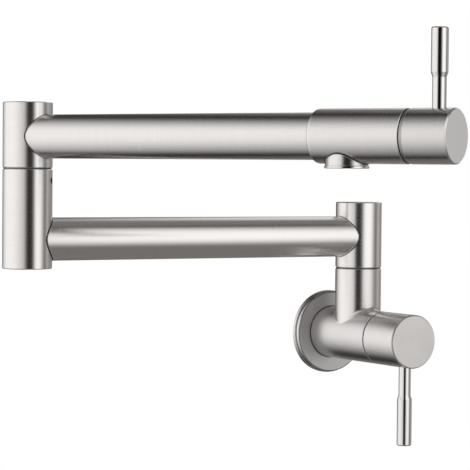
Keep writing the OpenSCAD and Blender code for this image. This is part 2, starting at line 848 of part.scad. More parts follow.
module wall_cartridge_body() { color(brass) on_wall_seat() cartridge_body(); }
module wall_cartridge_ring() { color(rubber) on_wall_seat() cartridge_ring(); }
module wall_seat_washer() { color(rubber) on_wall_seat() seat_washer(); }
module wall_fixed_disc() { color(ceramic) on_wall_seat() translate([0, 0, fixed_disc_at]) ceramic_disc(); }
module wall_bonnet_nut() { color(polished) on_wall_seat() bonnet_nut(wall_gap); }
module wall_spindle() { color(brass) on_wall_seat() spindle(); }
module wall_turning_disc() { color(ceramic) on_wall_seat() translate([0, 0, turning_disc_at]) ceramic_disc(); }
module wall_spindle_clip() { color(polished) on_wall_seat() spindle_clip(); }

module wall_handle_cap() {
    color(steel) on_wall_seat()
        handle_cap(valve_r, wall_gap, wall_cap_len, wall_lever_at, wall_lever_side, wall_screw_side);
}

module wall_handle_screw() {
    color(polished) on_wall_seat() handle_screw(valve_r, wall_screw_side);
}

module wall_lever() {
    color(polished) on_wall_seat()
        lever(valve_r, wall_lever_at, wall_lever_side, wall_lever_len, wall_grip_len);
}

module head_cartridge_body() { color(brass) on_head_seat() cartridge_body(); }
module head_cartridge_ring() { color(rubber) on_head_seat() cartridge_ring(); }
module head_seat_washer() { color(rubber) on_head_seat() seat_washer(); }
module head_fixed_disc() { color(ceramic) on_head_seat() translate([0, 0, fixed_disc_at]) ceramic_disc(); }
module head_bonnet_nut() { color(polished) on_head_seat() bonnet_nut(spout_gap); }
module head_spindle() { color(brass) on_head_seat() spindle(); }
module head_turning_disc() { color(ceramic) on_head_seat() translate([0, 0, turning_disc_at]) ceramic_disc(); }
module head_spindle_clip() { color(polished) on_head_seat() spindle_clip(); }

module head_handle_cap() {
    color(steel) on_head_seat()
        handle_cap(head_r, spout_gap, spout_cap_len, head_lever_at, head_lever_side, head_screw_side);
}

module head_handle_screw() {
    color(polished) on_head_seat() handle_screw(head_r, head_screw_side);
}

module head_lever() {
    color(polished) on_head_seat()
        lever(head_r, head_lever_at, head_lever_side, spout_lever_len, spout_grip_len);
}

wall_nipple();
wall_flange();
flange_gasket();
inlet_washer();
valve_body();
hub_set_screw();
wall_cartridge_body();
wall_cartridge_ring();
wall_seat_washer();
wall_fixed_disc();
wall_bonnet_nut();
wall_spindle();
wall_turning_disc();
wall_spindle_clip();
wall_handle_cap();
wall_handle_screw();
wall_lever();
hub_post();
hub_stem();
hub_stem_rings();
hub_glide_ring();
lower_tube();
elbow_lower_post();
elbow_set_screw();
elbow_upper_post();
elbow_stem();
elbow_stem_rings();
elbow_glide_ring();
upper_tube();
head_body();
aerator_housing();
aerator_insert();
aerator_washer();
head_cartridge_body();
head_cartridge_ring();
head_seat_washer();
head_fixed_disc();
head_bonnet_nut();
head_spindle();
head_turning_disc();
head_spindle_clip();
head_handle_cap();
head_handle_screw();
head_lever();
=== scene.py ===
"""Looks of the wall mounted pot filler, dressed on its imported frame. Lengths are in metres."""
import bpy
import json
import math
from mathutils import Euler, Matrix, Vector


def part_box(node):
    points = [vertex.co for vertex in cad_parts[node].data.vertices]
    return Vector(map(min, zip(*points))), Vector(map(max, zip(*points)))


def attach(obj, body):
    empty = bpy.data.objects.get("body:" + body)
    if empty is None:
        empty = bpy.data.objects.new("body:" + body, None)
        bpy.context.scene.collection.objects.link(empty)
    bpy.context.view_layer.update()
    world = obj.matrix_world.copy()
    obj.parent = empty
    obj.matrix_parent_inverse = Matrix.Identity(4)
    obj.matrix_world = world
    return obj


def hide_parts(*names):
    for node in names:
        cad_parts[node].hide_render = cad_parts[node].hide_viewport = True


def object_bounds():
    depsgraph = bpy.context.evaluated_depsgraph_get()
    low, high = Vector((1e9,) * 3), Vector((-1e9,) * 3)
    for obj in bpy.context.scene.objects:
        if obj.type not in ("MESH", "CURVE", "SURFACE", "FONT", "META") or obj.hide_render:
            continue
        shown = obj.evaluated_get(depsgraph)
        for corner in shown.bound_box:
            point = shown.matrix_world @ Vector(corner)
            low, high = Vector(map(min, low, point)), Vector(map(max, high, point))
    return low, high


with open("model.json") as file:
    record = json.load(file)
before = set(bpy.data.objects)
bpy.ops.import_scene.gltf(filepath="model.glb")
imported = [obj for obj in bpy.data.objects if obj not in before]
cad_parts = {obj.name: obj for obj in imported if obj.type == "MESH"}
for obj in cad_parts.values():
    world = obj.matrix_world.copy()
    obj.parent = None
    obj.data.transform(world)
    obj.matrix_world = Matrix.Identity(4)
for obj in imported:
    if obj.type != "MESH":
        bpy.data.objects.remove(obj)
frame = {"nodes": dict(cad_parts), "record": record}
cad_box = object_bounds()
NODES = frame["nodes"]
SCENE = bpy.context.scene

# Camera of the photograph: place, heading, tilt and roll, and its lens on a 36 mm sensor
CAMERA_AT = Vector((-0.8147, -1.1788, 0.1154))
CAMERA_HEADING = math.radians(32)
CAMERA_TILT = math.radians(-1.89)
CAMERA_ROLL = math.radians(0.49)
PHOTO_SIDE_PX = 470
FOCAL_PX = 2000
SENSOR_MM = 36
CLIP_END = 50


def joint_place(name):
    return Vector(JOINTS[name]["pos_m"])


def middle(node, axis):
    low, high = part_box(node)
    return (low[axis] + high[axis]) / 2


def half_size(node, axis):
    low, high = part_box(node)
    return (high[axis] - low[axis]) / 2


def at_height(place, z):
    return Vector((place.x, place.y, z))


# Axes of the frame, by their place in a vector and by their direction
X = 0
Z = 2
RIGHT = Vector((1, 0, 0))
UP = Vector((0, 0, 1))
WALLWARD = Vector((0, 1, 0))

# Places and directions of the arms: the hub and the elbow's posts at the height of the tubes' axes
JOINTS = {joint["name"]: joint for joint in frame["record"]["behaviour"]["joints"]}
HUB = at_height(joint_place("wall_swivel"), middle("lower_tube", Z))
ELBOW_LOW = at_height(joint_place("elbow_swivel"), HUB.z)
ELBOW_HIGH = at_height(ELBOW_LOW, joint_place("spout_handle_turn").z)
LOWER_DIR = (ELBOW_LOW - HUB).normalized()
UPPER_DIR = Vector(JOINTS["spout_handle_turn"]["axis"])

# Radii of the solids, and where the wall handle's cap begins
POST_R = half_size("hub_post", X)
TUBE_R = half_size("lower_tube", Z)
VALVE_R = half_size("wall_handle_cap", X)
HEAD_R = half_size("head_handle_cap", Z)
WALL_CAP_AT = -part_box("wall_handle_cap")[1].y

# Sizes that the boxes don't say, as in the part's source
FIT_GAP = 0.00005
SLIP_GAP = 0.00025
EDGE_BREAK = 0.0006
FINE_BREAK = 0.0003
UPPER_LEN = 0.21
HEAD_BACK = 0.0146
HEAD_RIM = 0.0007
SEAT_DEPTH = 0.045
SPOUT_GAP = 0.0026
OUTLET_R = 0.0127
OUTLET_FROM_SEAT = 0.0052

# Stations along the upper arm, from the elbow's axis
OUTLET_AT = UPPER_LEN + HEAD_BACK + OUTLET_FROM_SEAT
HEAD_END = UPPER_LEN + HEAD_BACK + SEAT_DEPTH
SPOUT_CAP_AT = HEAD_END + SPOUT_GAP


def look_axes(heading, tilt, roll):
    """Right, up and forward of a camera."""
    level = Vector((math.sin(heading), math.cos(heading), 0))
    forward = math.cos(tilt) * level + math.sin(tilt) * UP
    right = Vector((math.cos(heading), -math.sin(heading), 0))
    up = right.cross(forward)
    rolled_right = math.cos(roll) * right + math.sin(roll) * up
    rolled_up = -math.sin(roll) * right + math.cos(roll) * up
    return rolled_right, rolled_up, forward


def add_camera():
    data = bpy.data.cameras.new("photo_camera")
    data.sensor_width = SENSOR_MM
    data.lens = FOCAL_PX / PHOTO_SIDE_PX * SENSOR_MM
    data.clip_end = CLIP_END
    camera = bpy.data.objects.new("photo_camera", data)
    right, up, forward = look_axes(CAMERA_HEADING, CAMERA_TILT, CAMERA_ROLL)
    turn = Matrix((right, up, -forward)).transposed().to_4x4()
    camera.matrix_world = Matrix.Translation(CAMERA_AT) @ turn
    SCENE.collection.objects.link(camera)
    SCENE.camera = camera


# Materials
METAL = 1.0
NON_METAL = 0.0

# Noise: its octaves and their strength, and the spans of its range that colour and roughness follow
NOISE_DETAIL = 4.0
NOISE_ROUGHNESS = 0.6
COLOUR_SPAN = (0.3, 0.7)
ROUGH_SPAN = (0.25, 0.75)

# Brushed steel: colours, noise scale across and along its lines, roughness, and relief of the lines
STEEL_LOW = (0.67, 0.654, 0.644)
STEEL_HIGH = (0.72, 0.703, 0.693)
FINE = 3200
LONG = 60
BRUSHED_LINES = (LONG, LONG, FINE)
BRUSHED_ROUGH = (0.22, 0.28)
BRUSHED_GRAIN = 0.015
BRUSHED_BUMP = 0.0001
FACE_ROUGH = 0.36

# How far the gloss is drawn out, and the tilt that keeps its direction off the end faces' normal
SMEAR = 0.6
TANGENT_TILT = 0.03

# Spans over which a face turns from a wall to an end face, and from upright to level, by its cosine
END_FACE = (0.9, 0.97)
LEVEL_FACE = (0.2, 0.5)

# Even grains of the cast flange and of the plain finishes, and relief of the latter
CAST_LINES = (700, 700, 700)
PLAIN_LINES = (900, 900, 900)
PLAIN_GRAIN = 0.1
PLAIN_BUMP = 0.00005

# Turns that lay the brushed lines round the posts, the valve and the arms
RIGHT_ANGLE = math.radians(90)
ROUND_POSTS = (0, 0, 0)
ROUND_VALVE = (RIGHT_ANGLE, 0, 0)
ROUND_LOWER_ARM = (0, RIGHT_ANGLE, math.atan2(LOWER_DIR.y, LOWER_DIR.x))
ROUND_UPPER_ARM = (0, RIGHT_ANGLE, math.atan2(UPPER_DIR.y, UPPER_DIR.x))

# How far above the valve's axis the riser, and how far below the arm's axis the outlet's boss, begin to
# be brushed round the vertical
RISER_FROM = 0.012
OUTLET_FROM = 0.009

# Sockets of a Mix node for each kind of data: first, second and result
MIX_SOCKETS = {"FLOAT": (2, 3, 0), "VECTOR": (4, 5, 1), "RGBA": (6, 7, 2)}


def new_material(name):
    material = bpy.data.materials.new(name)
    material.use_nodes = True
    tree = material.node_tree
    tree.nodes.clear()
    output = tree.nodes.new("ShaderNodeOutputMaterial")
    return material, tree, output


def put(tree, value, socket):
    """Link an output into the socket, or set the socket to a fixed value."""
    if isinstance(value, bpy.types.NodeSocket):
        tree.links.new(value, socket)
    else:
        socket.default_value = value


def arithmetic(tree, operation, *values):
    """Result of a Math node on outputs or numbers."""
    node = tree.nodes.new("ShaderNodeMath")
    node.operation = operation
    for value, socket in zip(values, node.inputs):
        put(tree, value, socket)
    return node.outputs[0]


def mix(tree, kind, share, first, second):
    """What goes from first to second as share goes from 0 to 1."""
    node = tree.nodes.new("ShaderNodeMix")
    node.data_type = kind
    first_socket, second_socket, result = MIX_SOCKETS[kind]
    put(tree, share, node.inputs["Factor"])
    put(tree, first, node.inputs[first_socket])
    put(tree, second, node.inputs[second_socket])
    return node.outputs[result]


def coordinate(tree, kind):
    """Place, which is kind Object, or Normal, both in the object's own axes."""
    return tree.nodes.new("ShaderNodeTexCoord").outputs[kind]


def streaks(tree, stretch, turn):
    """Noise drawn out into fine lines: stretch is the noise scale along each turned axis."""
    mapping = tree.nodes.new("ShaderNodeMapping")
    mapping.vector_type = "TEXTURE"
    mapping.inputs["Rotation"].default_value = turn
    mapping.inputs["Scale"].default_value = [1 / s for s in stretch]
    noise = tree.nodes.new("ShaderNodeTexNoise")
    noise.inputs["Scale"].default_value = 1.0
    noise.inputs["Detail"].default_value = NOISE_DETAIL
    noise.inputs["Roughness"].default_value = NOISE_ROUGHNESS
    tree.links.new(coordinate(tree, "Object"), mapping.inputs["Vector"])
    tree.links.new(mapping.outputs["Vector"], noise.inputs["Vector"])
    return noise.outputs["Fac"]


def map_range(tree, value, span, low=0.0, high=1.0):
    """Number that goes from low to high as the value goes over the span."""
    node = tree.nodes.new("ShaderNodeMapRange")
    node.inputs["From Min"].default_value, node.inputs["From Max"].default_value = span
    node.inputs["To Min"].default_value = low
    node.inputs["To Max"].default_value = high
    tree.links.new(value, node.inputs["Value"])
    return node.outputs["Result"]


def tint(tree, value, low, high):
    """Colour that goes from low to high with the noise."""
    ramp = tree.nodes.new("ShaderNodeValToRGB")
    for element, position, colour in zip(ramp.color_ramp.elements, COLOUR_SPAN, (low, high)):
        element.position = position
        element.color = (*colour, 1)
    tree.links.new(value, ramp.inputs["Fac"])
    return ramp.outputs["Color"]


def bump(tree, value, strength, distance):
    node = tree.nodes.new("ShaderNodeBump")
    node.inputs["Strength"].default_value = strength
    node.inputs["Distance"].default_value = distance
    tree.links.new(value, node.inputs["Height"])
    return node.outputs["Normal"]


def facing(tree, axis, span):
    """0 on surfaces along the axis and 1 on faces square to it."""
    dot = tree.nodes.new("ShaderNodeVectorMath")
    dot.operation = "DOT_PRODUCT"
    dot.inputs[1].default_value = axis
    tree.links.new(coordinate(tree, "Normal"), dot.inputs[0])
    return map_range(tree, arithmetic(tree, "ABSOLUTE", dot.outputs["Value"]), span)


def along(tree, axis):
    """World direction of an axis of the object, which the gloss is drawn out along."""
    turn = tree.nodes.new("ShaderNodeVectorTransform")
    turn.vector_type = "VECTOR"
    turn.convert_from = "OBJECT"
    turn.convert_to = "WORLD"
    turn.inputs["Vector"].default_value = axis
    return turn.outputs["Vector"]


def branch(tree, side, height):
    """1 on the upright branch of a body: its walls above the height, or below it if side is -1."""
    parts = tree.nodes.new("ShaderNodeSeparateXYZ")
    tree.links.new(coordinate(tree, "Object"), parts.inputs["Vector"])
    past = arithmetic(tree, "GREATER_THAN" if side > 0 else "LESS_THAN", parts.outputs["Z"], height)
    sideways = arithmetic(tree, "SUBTRACT", 1.0, facing(tree, UP, LEVEL_FACE))
    return arithmetic(tree, "MULTIPLY", past, sideways)


def brushed_metal(name, turn, lines=BRUSHED_LINES, low=STEEL_LOW, high=STEEL_HIGH, shade=1.0,
                  rough=BRUSHED_ROUGH, grain=BRUSHED_GRAIN, upright=None, face_rough=FACE_ROUGH,
                  face_colour=None):
    """Metal brushed round the turned Z axis.

    lines is its noise scale, low and high are its colours, which shade darkens, and rough is its
    roughness range. upright gives the side and height past which a branch of the body is brushed
    round the vertical. Its end faces have a roughness, and may have a colour, of their own."""
    material, tree, output = new_material(name)
    shader = tree.nodes.new("ShaderNodeBsdfPrincipled")
    shader.inputs["Metallic"].default_value = METAL
    shader.inputs["Anisotropic"].default_value = SMEAR
    streak = streaks(tree, lines, turn)
    axis = Euler(turn).to_matrix() @ UP
    face = facing(tree, axis, END_FACE)
    tangent = along(tree, axis + TANGENT_TILT * axis.orthogonal().normalized())
    if upright:
        share = branch(tree, *upright)
        tangent = mix(tree, "VECTOR", share, tangent, along(tree, Vector((TANGENT_TILT, 0, 1))))
        streak = mix(tree, "FLOAT", share, streak, streaks(tree, lines, ROUND_POSTS))
    # shade scales the steel's colours down: painted shade on parts that reflect less light
    colour = tint(tree, streak, [shade * c for c in low], [shade * c for c in high])
    if face_colour:
        colour = mix(tree, "RGBA", face, colour, (*face_colour, 1))
    roughness = mix(tree, "FLOAT", face, map_range(tree, streak, ROUGH_SPAN, *rough), face_rough)
    put(tree, tangent, shader.inputs["Tangent"])
    put(tree, colour, shader.inputs["Base Color"])
    put(tree, roughness, shader.inputs["Roughness"])
    put(tree, bump(tree, streak, grain, BRUSHED_BUMP), shader.inputs["Normal"])
    put(tree, shader.outputs["BSDF"], output.inputs["Surface"])
    return material


def plain_finish(name, low, high, rough, metallic):
    """Moulded, lapped or machined finish with a fine even grain."""
    material, tree, output = new_material(name)
    shader = tree.nodes.new("ShaderNodeBsdfPrincipled")
    shader.inputs["Metallic"].default_value = metallic
    grain = streaks(tree, PLAIN_LINES, ROUND_POSTS)
    put(tree, tint(tree, grain, low, high), shader.inputs["Base Color"])
    put(tree, map_range(tree, grain, ROUGH_SPAN, *rough), shader.inputs["Roughness"])
    put(tree, bump(tree, grain, PLAIN_GRAIN, PLAIN_BUMP), shader.inputs["Normal"])
    put(tree, shader.outputs["BSDF"], output.inputs["Surface"])
    return material


# Brushed finishes by what sets each apart. A shade below 1 darkens a part's steel as painted shade, and
# the spout cap's lighter face colour is a painted highlight
BRUSHED = {
    "brushed_upright": dict(turn=ROUND_POSTS),
    "brushed_wallward": dict(turn=ROUND_VALVE),
    "brushed_valve": dict(turn=ROUND_VALVE, upright=(1, RISER_FROM)),
    "brushed_head_painted_shade": dict(turn=ROUND_UPPER_ARM, upright=(-1, ELBOW_HIGH.z - OUTLET_FROM), shade=0.94),
    "brushed_upper_painted_shade": dict(turn=ROUND_UPPER_ARM, shade=0.96),
    # Spout's cap: walls darkened as painted shade, and a lighter end face colour as a painted highlight
    "brushed_spout_cap_painted_shade_and_highlight": dict(turn=ROUND_UPPER_ARM, shade=0.88, face_rough=0.3,
                              face_colour=(0.96, 0.95, 0.94)),
    "cast_flange": dict(turn=ROUND_VALVE, lines=CAST_LINES, low=(0.64, 0.63, 0.622),
                        high=(0.76, 0.75, 0.742), rough=(0.12, 0.18), grain=0.1, face_rough=0.52,
                        face_colour=(0.66, 0.65, 0.643)),
    "brushed_lower": dict(turn=ROUND_LOWER_ARM),
}

# Plain finishes: darkest and lightest colour, roughness range, and whether it is metal
PLAIN = {
    "polished_steel": ((0.62, 0.613, 0.605), (0.68, 0.672, 0.665), (0.05, 0.1), METAL),
    "screw_steel": ((0.35, 0.35, 0.36), (0.5, 0.5, 0.5), (0.3, 0.45), METAL),
    "machined_brass": ((0.7, 0.52, 0.25), (0.8, 0.62, 0.32), (0.2, 0.35), METAL),
    "black_rubber": ((0.02, 0.02, 0.02), (0.04, 0.04, 0.04), (0.5, 0.7), NON_METAL),
    "lapped_ceramic": ((0.8, 0.78, 0.74), (0.88, 0.86, 0.82), (0.1, 0.2), NON_METAL),
    "white_nylon": ((0.7, 0.7, 0.68), (0.82, 0.82, 0.8), (0.3, 0.45), NON_METAL),
    # Bonnet nuts: satin steel whose colour is darkened to paint the shade of the grooves they sit in
    "satin_nut_painted_shade": ((0.36, 0.355, 0.35), (0.44, 0.43, 0.425), (0.28, 0.38), METAL),
    # Near-black beads that paint the shade in joints, gaps and edges
    "painted_shade_bead": ((0.04, 0.038, 0.036), (0.08, 0.077, 0.074), (0.35, 0.5), METAL),
    "bright_bead": ((0.7, 0.69, 0.68), (0.76, 0.75, 0.74), (0.15, 0.22), METAL),
    "black_screw": ((0.05, 0.05, 0.05), (0.1, 0.1, 0.1), (0.3, 0.45), METAL),
    "black_acetal": ((0.03, 0.03, 0.03), (0.06, 0.06, 0.06), (0.4, 0.55), NON_METAL),
}

FINISH_OF_SLOT = {
    "polished_steel": "polished_steel",
    "screw_steel": "screw_steel",
    "brass": "machined_brass",
    "rubber": "black_rubber",
    "ceramic": "lapped_ceramic",
    "nylon": "white_nylon",
    "acetal": "black_acetal",
}

# Nodes with a finish of their own instead of their slot's
FINISH_OF_NODE = {
    "wall_flange": "cast_flange",
    "valve_body": "brushed_valve",
    "wall_handle_cap": "brushed_wallward",
    "hub_post": "brushed_upright",
    "elbow_lower_post": "brushed_upright",
    "elbow_upper_post": "brushed_upright",
    "lower_tube": "brushed_lower",
    "upper_tube": "brushed_upper_painted_shade",
    "head_body": "brushed_head_painted_shade",
    "head_handle_cap": "brushed_spout_cap_painted_shade_and_highlight",
    "wall_bonnet_nut": "satin_nut_painted_shade",
    "head_bonnet_nut": "satin_nut_painted_shade",
    "hub_set_screw": "black_screw",
    "elbow_set_screw": "black_screw",
}

# Materials by their names, once they are made
FINISHES = {}


def make_finishes():
    for name, look in BRUSHED.items():
        FINISHES[name] = brushed_metal(name, **look)
    for name, look in PLAIN.items():
        FINISHES[name] = plain_finish(name, *look)


def dress_nodes():
    for part in frame["record"]["subparts"]:
        node = part["node"]
        finish = FINISH_OF_NODE.get(node) or FINISH_OF_SLOT[part["material_slot"]]
        mesh = NODES[node].data
        mesh.materials.clear()
        mesh.materials.append(FINISHES[finish])


def add_mesh(name, points, faces, material):
    mesh = bpy.data.meshes.new(name)
    mesh.from_pydata(points, [], faces)
    mesh.materials.append(material)
    thing = bpy.data.objects.new(name, mesh)
    SCENE.collection.objects.link(thing)
    return thing


def smooth(thing):
    polygons = thing.data.polygons
    polygons.foreach_set("use_smooth", [True] * len(polygons))


def net(rows, columns, closed):
    """Faces between rows of points that each run round. closed joins the last row to the first."""
    faces = []
    for i in range(rows if closed else rows - 1):
        row, after = i * columns, (i + 1) % rows * columns
        for j in range(columns):
            k = (j + 1) % columns
            faces.append((row + j, row + k, after + k, after + j))
    return faces


def clamp(value):
    return min(max(value, 0), 1)


# Studio: grey light and a pale floor well below the object, both white to the eye
WORLD_GREY = (0.6, 0.6, 0.6, 1)
FLOOR_GREY = (0.85, 0.85, 0.85, 1)
EYE_WHITE = (1, 1, 1, 1)
FLOOR_ROUGH = 0.8
FLOOR_REACH = 6
FLOOR_DROP = 3

# Soft screens for the reflections: the middle they are bent about, their mesh, and how far up they go
STUDIO_CENTRE = Vector((-0.12, -0.14, 0.08))
SCREEN_RINGS = 20
SCREEN_SECTORS = 48
STEEPEST = 89

# Screens: the centre's degrees right of the photographer and up, the reach in degrees left, right,
# down and up of it, the share of the reach that is full, distance, brightness and colour
WHITE = (1, 0.99, 0.985)
WARM = (1, 0.96, 0.93)
SCREENS = {
    "front_flag": ((-1, 0), (30, 44, 80, 80), 0.3, 0.55, 0.004, WARM),
    "left_box": ((-88, 11), (78, 125, 98, 66), 0.18, 2.5, 1.29, WHITE),
    "right_box": ((52, 12), (62, 44, 57, 60), 0.25, 2.4, 1.47, WHITE),
    "right_gap": ((83, 56), (24, 20, 9, 9), 0.3, 2.35, 0.05, WARM),
    "left_cloth": ((-115, 0), (68, 90, 140, 140), 0.7, 2.65, 0.03, WARM),
    "back_light": ((162, 32), (26, 24, 26, 28), 0.5, 2.6, 1.0, WHITE),
    "face_box": ((116, 0), (18, 16, 20, 20), 0.5, 2.55, 0.56, WHITE),
    "right_back": ((135, 0), (40, 45, 50, 50), 0.4, 2.7, 0.36, WARM),
    "right_cloth": ((80, 0), (150, 150, 140, 140), 0.8, 2.8, 0.23, WARM),
}


def white_to_eye(tree, other, output):
    """Plain white to the camera and to mirrors and glass, and other for the light."""
    path = tree.nodes.new("ShaderNodeLightPath").outputs
    seen = arithmetic(tree, "MAXIMUM", path["Is Camera Ray"], path["Is Glossy Ray"])
    seen = arithmetic(tree, "MAXIMUM", seen, path["Is Transmission Ray"])
    white = tree.nodes.new("ShaderNodeBackground")
    white.inputs["Color"].default_value = EYE_WHITE
    blend = tree.nodes.new("ShaderNodeMixShader")
    tree.links.new(seen, blend.inputs["Fac"])
    tree.links.new(other, blend.inputs[1])
    tree.links.new(white.outputs["Background"], blend.inputs[2])
    tree.links.new(blend.outputs["Shader"], output)


def add_world():
    world = bpy.data.worlds.new("studio")
    world.use_nodes = True
    SCENE.world = world
    tree = world.node_tree
    tree.nodes.clear()
    output = tree.nodes.new("ShaderNodeOutputWorld")
    soft = tree.nodes.new("ShaderNodeBackground")
    soft.inputs["Color"].default_value = WORLD_GREY
    white_to_eye(tree, soft.outputs["Background"], output.inputs["Surface"])


def add_floor():
    material, tree, output = new_material("pale_floor")
    shader = tree.nodes.new("ShaderNodeBsdfPrincipled")
    shader.inputs["Base Color"].default_value = FLOOR_GREY
    shader.inputs["Roughness"].default_value = FLOOR_ROUGH
    white_to_eye(tree, shader.outputs["BSDF"], output.inputs["Surface"])
    z = cad_box[0][2] - FLOOR_DROP
    corners = [(x * FLOOR_REACH, y * FLOOR_REACH, z) for x, y in ((-1, -1), (1, -1), (1, 1), (-1, 1))]
    add_mesh("floor", corners, [(0, 1, 2, 3)], material)


def studio_point(azimuth, elevation, distance):
    """Point round the studio's centre, by its angle right of the photographer and its elevation."""
    heading = CAMERA_HEADING + math.pi - math.radians(azimuth)
    rise = math.radians(elevation)
    flat = Vector((math.sin(heading), math.cos(heading), 0)) * math.cos(rise)
    return STUDIO_CENTRE + distance * (flat + math.sin(rise) * UP)


def soft_step(value):
    value = clamp(value)
    return value * value * (3 - 2 * value)


def screen_cloth(name, shade, colour):
    """Studio cloth or lit screen of one brightness, thinning out where its cover does."""
    material, tree, output = new_material(name)
    glow = tree.nodes.new("ShaderNodeEmission")
    glow.inputs["Color"].default_value = (*colour, 1)
    glow.inputs["Strength"].default_value = shade
    clear = tree.nodes.new("ShaderNodeBsdfTransparent")
    cover = tree.nodes.new("ShaderNodeAttribute")
    cover.attribute_name = "cover"
    blend = tree.nodes.new("ShaderNodeMixShader")
    tree.links.new(cover.outputs["Fac"], blend.inputs["Fac"])
    tree.links.new(clear.outputs["BSDF"], blend.inputs[1])
    tree.links.new(glow.outputs["Emission"], blend.inputs[2])
    tree.links.new(blend.outputs["Shader"], output.inputs["Surface"])
    return material


def add_screen(name, centre, reach, core, distance, shade, colour):
    """Round screen bent about the object, seen only by shiny surfaces, that thins out past its core."""
    left, right, down, up = reach
    points, cover = [], []
    for i in range(SCREEN_RINGS + 1):
        r = i / SCREEN_RINGS
        for j in range(SCREEN_SECTORS):
            turn = 2 * math.pi * j / SCREEN_SECTORS
            across, rise = r * math.cos(turn), r * math.sin(turn)
            azimuth = centre[0] + across * (right if across > 0 else left)
            elevation = centre[1] + rise * (up if rise > 0 else down)
            points.append(studio_point(azimuth, min(max(elevation, -STEEPEST), STEEPEST), distance))
            cover.append(soft_step((1 - r) / (1 - core)))
    faces = net(SCREEN_RINGS + 1, SCREEN_SECTORS, closed=False)
    sheet = add_mesh(name, points, faces, screen_cloth(name, shade, colour))
    sheet.data.attributes.new("cover", "FLOAT", "POINT").data.foreach_set("value", cover)
    sheet.visible_camera = False
    sheet.visible_diffuse = False
    sheet.visible_shadow = False


# Seams: dark beads of painted shade in the joints of tubes and collars, and bright ones on the edges
# beside them
SEAM_STEPS = 96
BEAD_STEPS = 8
SHADE_BEAD_R = 0.00045
BEAD_R = 0.00025
BEAD_LIFT = 0.0007

# Rise past which a bead's sections are laid out from +X, because the vertical runs along the bead
STEEP = 0.9

# Beads on the caps' back edges, on from the back and in from the wall, in the gap behind the spout's
# cap, on from the head's end, where a dark bead paints the gap's shadow, and on the edges of the flange,
# where dark beads paint shade
CAP_EDGE_R = 0.0002
CAP_EDGE_ON = 0.00012
CAP_EDGE_IN = 0.00024
HEAD_GAP_R = 0.00026
HEAD_GAP_ON = 0.00035
PLATE_EDGE_R = 0.0002
PLATE_STEP_R = 0.00018

# Tubes that leave a thicker bar: place, the bar's axis and radius, the tube's, and the body they ride
OUTLET = ELBOW_HIGH + OUTLET_AT * UPPER_DIR
BRANCHES = {
    "hub_joint": (HUB, UP, POST_R, LOWER_DIR, TUBE_R, "lower_arm"),
    "elbow_lower_joint": (ELBOW_LOW, UP, POST_R, -LOWER_DIR, TUBE_R, "lower_arm"),
    "elbow_upper_joint": (ELBOW_HIGH, UP, POST_R, UPPER_DIR, TUBE_R, "upper_arm"),
    "outlet_joint": (OUTLET, UPPER_DIR, HEAD_R, -UP, OUTLET_R + FIT_GAP, "upper_arm"),
}


def saddle(centre, bar_axis, bar_r, branch_axis, branch_r, lift):
    """Closed line where a branch tube leaves a thicker bar, lift further out along the branch."""
    side = bar_axis.cross(branch_axis)
    line = []
    for i in range(SEAM_STEPS):
        turn = 2 * math.pi * i / SEAM_STEPS
        across, along_bar = branch_r * math.cos(turn), branch_r * math.sin(turn)
        out = math.sqrt(bar_r ** 2 - across ** 2) + lift
        line.append(centre + across * side + along_bar * bar_axis + out * branch_axis)
    return line


def ring(centre, axis, r):
    """Closed round line about the axis."""
    side = axis.orthogonal().normalized()
    other = axis.cross(side)
    turns = [2 * math.pi * i / SEAM_STEPS for i in range(SEAM_STEPS)]
    return [centre + r * (math.cos(turn) * side + math.sin(turn) * other) for turn in turns]


def valve_ring(out, r):
    """Ring about the valve's axis, that far out of the wall."""
    return ring(-out * WALLWARD, WALLWARD, r)


def head_ring(station, r):
    """Ring about the upper arm's axis, that far from the elbow."""
    return ring(ELBOW_HIGH + station * UPPER_DIR, UPPER_DIR, r)


def add_bead(name, line, r, finish):
    """Round bead of radius r laid along a closed line."""
    points = []
    for i, point in enumerate(line):
        ahead = (line[(i + 1) % len(line)] - line[i - 1]).normalized()
        side = ahead.cross(UP if abs(ahead.z) < STEEP else RIGHT).normalized()
        other = ahead.cross(side)
        for j in range(BEAD_STEPS):
            turn = 2 * math.pi * j / BEAD_STEPS
            points.append(point + r * (math.cos(turn) * side + math.sin(turn) * other))
    bead = add_mesh(name, points, net(len(line), BEAD_STEPS, closed=True), FINISHES[finish])
    smooth(bead)
    return bead


# Dark bead that paints the shade in a joint, gap or edge
def add_shade_bead(name, line, r, body):
    bead = add_bead(name, line, r, "painted_shade_bead")
    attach(bead, body)


def add_edge(name, line, r, body):
    bead = add_bead(name, line, r, "bright_bead")
    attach(bead, body)


